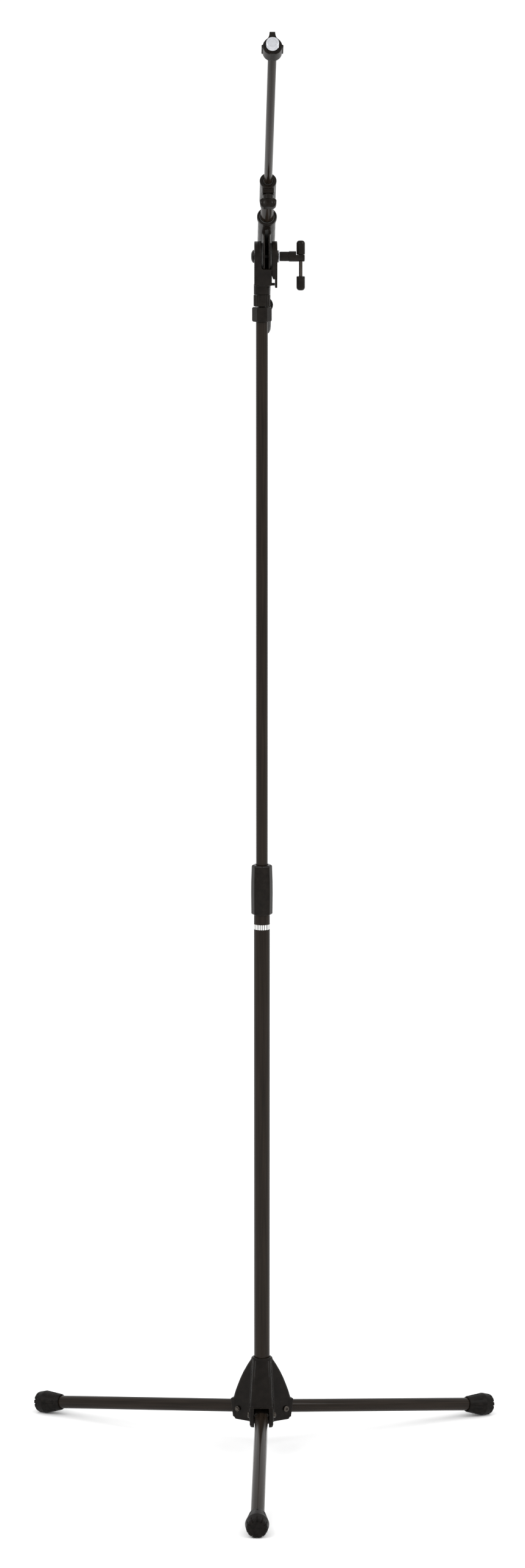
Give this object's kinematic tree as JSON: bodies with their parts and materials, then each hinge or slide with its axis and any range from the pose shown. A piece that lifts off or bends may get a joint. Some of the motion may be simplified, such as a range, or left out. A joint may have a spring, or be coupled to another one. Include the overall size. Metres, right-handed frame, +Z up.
{
  "type": "boom microphone stand",
  "caption": "Tripod microphone stand with fold-down legs, clutch-locked telescopic mast and a tilting, sliding, telescopic boom arm that ends in a threaded clip mount.",
  "frame": {"origin": "on the ground under the middle of the stand's bounding box at rest; the pole axis is 5.9 mm to -X and 84.1 mm to +Y of it", "axes": "+Z up along the mast; the boom rises towards -Y, over the front leg; the tilt bolt and its T-handle lie along +X"},
  "size_m": [0.6608, 0.7372, 1.9646],
  "materials": {
    "cast_black": "die-cast metal under satin black powder coat",
    "paint_black": "steel tube under semi-gloss black powder coat",
    "plastic_black": "moulded glass-filled plastic, satin, slightly brown black",
    "rubber_black": "moulded soft black rubber",
    "nylon": "dark grey nylon bearing plastic",
    "steel": "zinc-plated steel",
    "black_steel": "blackened steel, slightly brown, with a soft gloss",
    "chrome": "bright nickel chrome"
  },
  "bodies": {
    "base": {"hub_casting": "cast_black", "centre_washer": "steel", "centre_bolt": "steel", "lower_tube_plug": "steel", "lower_tube": "paint_black", "clutch_bush": "nylon", "clutch_collet": "nylon", "leg_pivot_bolt_front": "black_steel", "leg_pivot_nut_front": "black_steel", "leg_pivot_bolt_right": "black_steel", "leg_pivot_nut_right": "black_steel", "leg_pivot_bolt_left": "black_steel", "leg_pivot_nut_left": "black_steel"},
    "leg_front": {"leg_tube_front": "paint_black", "leg_knuckle_front": "cast_black", "rubber_foot_front": "rubber_black"},
    "leg_right": {"leg_tube_right": "paint_black", "leg_knuckle_right": "cast_black", "rubber_foot_right": "rubber_black"},
    "leg_left": {"leg_tube_left": "paint_black", "leg_knuckle_left": "cast_black", "rubber_foot_left": "rubber_black"},
    "clutch": {"clutch_grip": "plastic_black"},
    "mast": {"upper_tube": "paint_black", "upper_tube_glide": "nylon", "mast_top_fitting": "cast_black"},
    "lock_ring": {"swivel_lock_ring": "plastic_black"},
    "head": {"tilter_base": "cast_black", "clamp_plate": "cast_black", "friction_disc_left": "nylon", "friction_disc_right": "nylon", "tilt_bolt": "cast_black", "handle_washer": "chrome"},
    "handle": {"handle_hub": "plastic_black"},
    "slide_bar": {"t_bar": "black_steel", "t_bar_cap_upper": "plastic_black", "t_bar_cap_lower": "plastic_black"},
    "holder": {"boom_holder": "cast_black", "boom_holder_liner": "nylon"},
    "outer_boom": {"boom_outer_tube": "paint_black", "boom_tail_cap": "rubber_black", "boom_collar": "plastic_black", "boom_collar_liner": "nylon", "boom_lock_pad": "nylon"},
    "wing_knob": {"boom_wing_knob": "plastic_black", "boom_lock_screw": "black_steel"},
    "inner_boom": {"boom_inner_tube": "paint_black", "boom_inner_glide": "nylon", "tip_stud": "chrome", "thread_adapter": "chrome"},
    "tip_nut": {"tip_lock_nut": "plastic_black"}
  },
  "joints": [
    {"name": "leg_fold_front", "type": "hinge", "parent": "base", "child": "leg_front", "pos_m": [-0.00682, 0.05536, 0.0628], "axis": [0.9995, -0.0332, 0], "range_deg": [0, 82]},
    {"name": "leg_fold_right", "type": "hinge", "parent": "base", "child": "leg_right", "pos_m": [0.01954, 0.0977, 0.0628], "axis": [-0.471, 0.8821, 0], "range_deg": [0, 82]},
    {"name": "leg_fold_left", "type": "hinge", "parent": "base", "child": "leg_left", "pos_m": [-0.03031, 0.09936, 0.0628], "axis": [-0.5284, -0.849, 0], "range_deg": [0, 82]},
    {"name": "clutch_grip_turn", "type": "hinge", "parent": "base", "child": "clutch", "pos_m": [-0.00586, 0.08414, 0.8], "axis": [0, 0, 1], "range_deg": [0, 90]},
    {"name": "mast_slide", "type": "slide", "parent": "base", "child": "mast", "axis": [0, 0, 1], "range_m": [-0.64, 0]},
    {"name": "lock_ring_turn", "type": "hinge", "parent": "mast", "child": "lock_ring", "pos_m": [-0.00586, 0.08414, 1.606], "axis": [0, 0, 1], "range_deg": [0, 180]},
    {"name": "head_swivel", "type": "hinge", "parent": "mast", "child": "head", "pos_m": [-0.00586, 0.08414, 1.62], "axis": [0, 0, 1], "continuous": true},
    {"name": "boom_tilt", "type": "hinge", "parent": "head", "child": "holder", "pos_m": [0.00039, 0.08414, 1.6649], "axis": [1, 0, 0], "range_deg": [-61, 84]},
    {"name": "t_handle_turn", "type": "hinge", "parent": "head", "child": "handle", "pos_m": [0.03, 0.08414, 1.6649], "axis": [1, 0, 0], "continuous": true},
    {"name": "t_bar_slide", "type": "slide", "parent": "handle", "child": "slide_bar", "axis": [0, 0, 1], "range_m": [0, 0.019]},
    {"name": "boom_slide", "type": "slide", "parent": "holder", "child": "outer_boom", "axis": [0, -0.8746, 0.4848], "range_m": [-0.043, 0.175]},
    {"name": "wing_knob_turn", "type": "hinge", "parent": "outer_boom", "child": "wing_knob", "pos_m": [0.00039, -0.02756, 1.76455], "axis": [0, -0.4848, -0.8746], "range_deg": [0, 180]},
    {"name": "inner_boom_slide", "type": "slide", "parent": "outer_boom", "child": "inner_boom", "axis": [0, -0.8746, 0.4848], "range_m": [-0.34, 0]},
    {"name": "tip_nut_turn", "type": "hinge", "parent": "inner_boom", "child": "tip_nut", "pos_m": [0.00039, -0.34992, 1.94323], "axis": [0, -0.8746, 0.4848], "continuous": true}
  ]
}
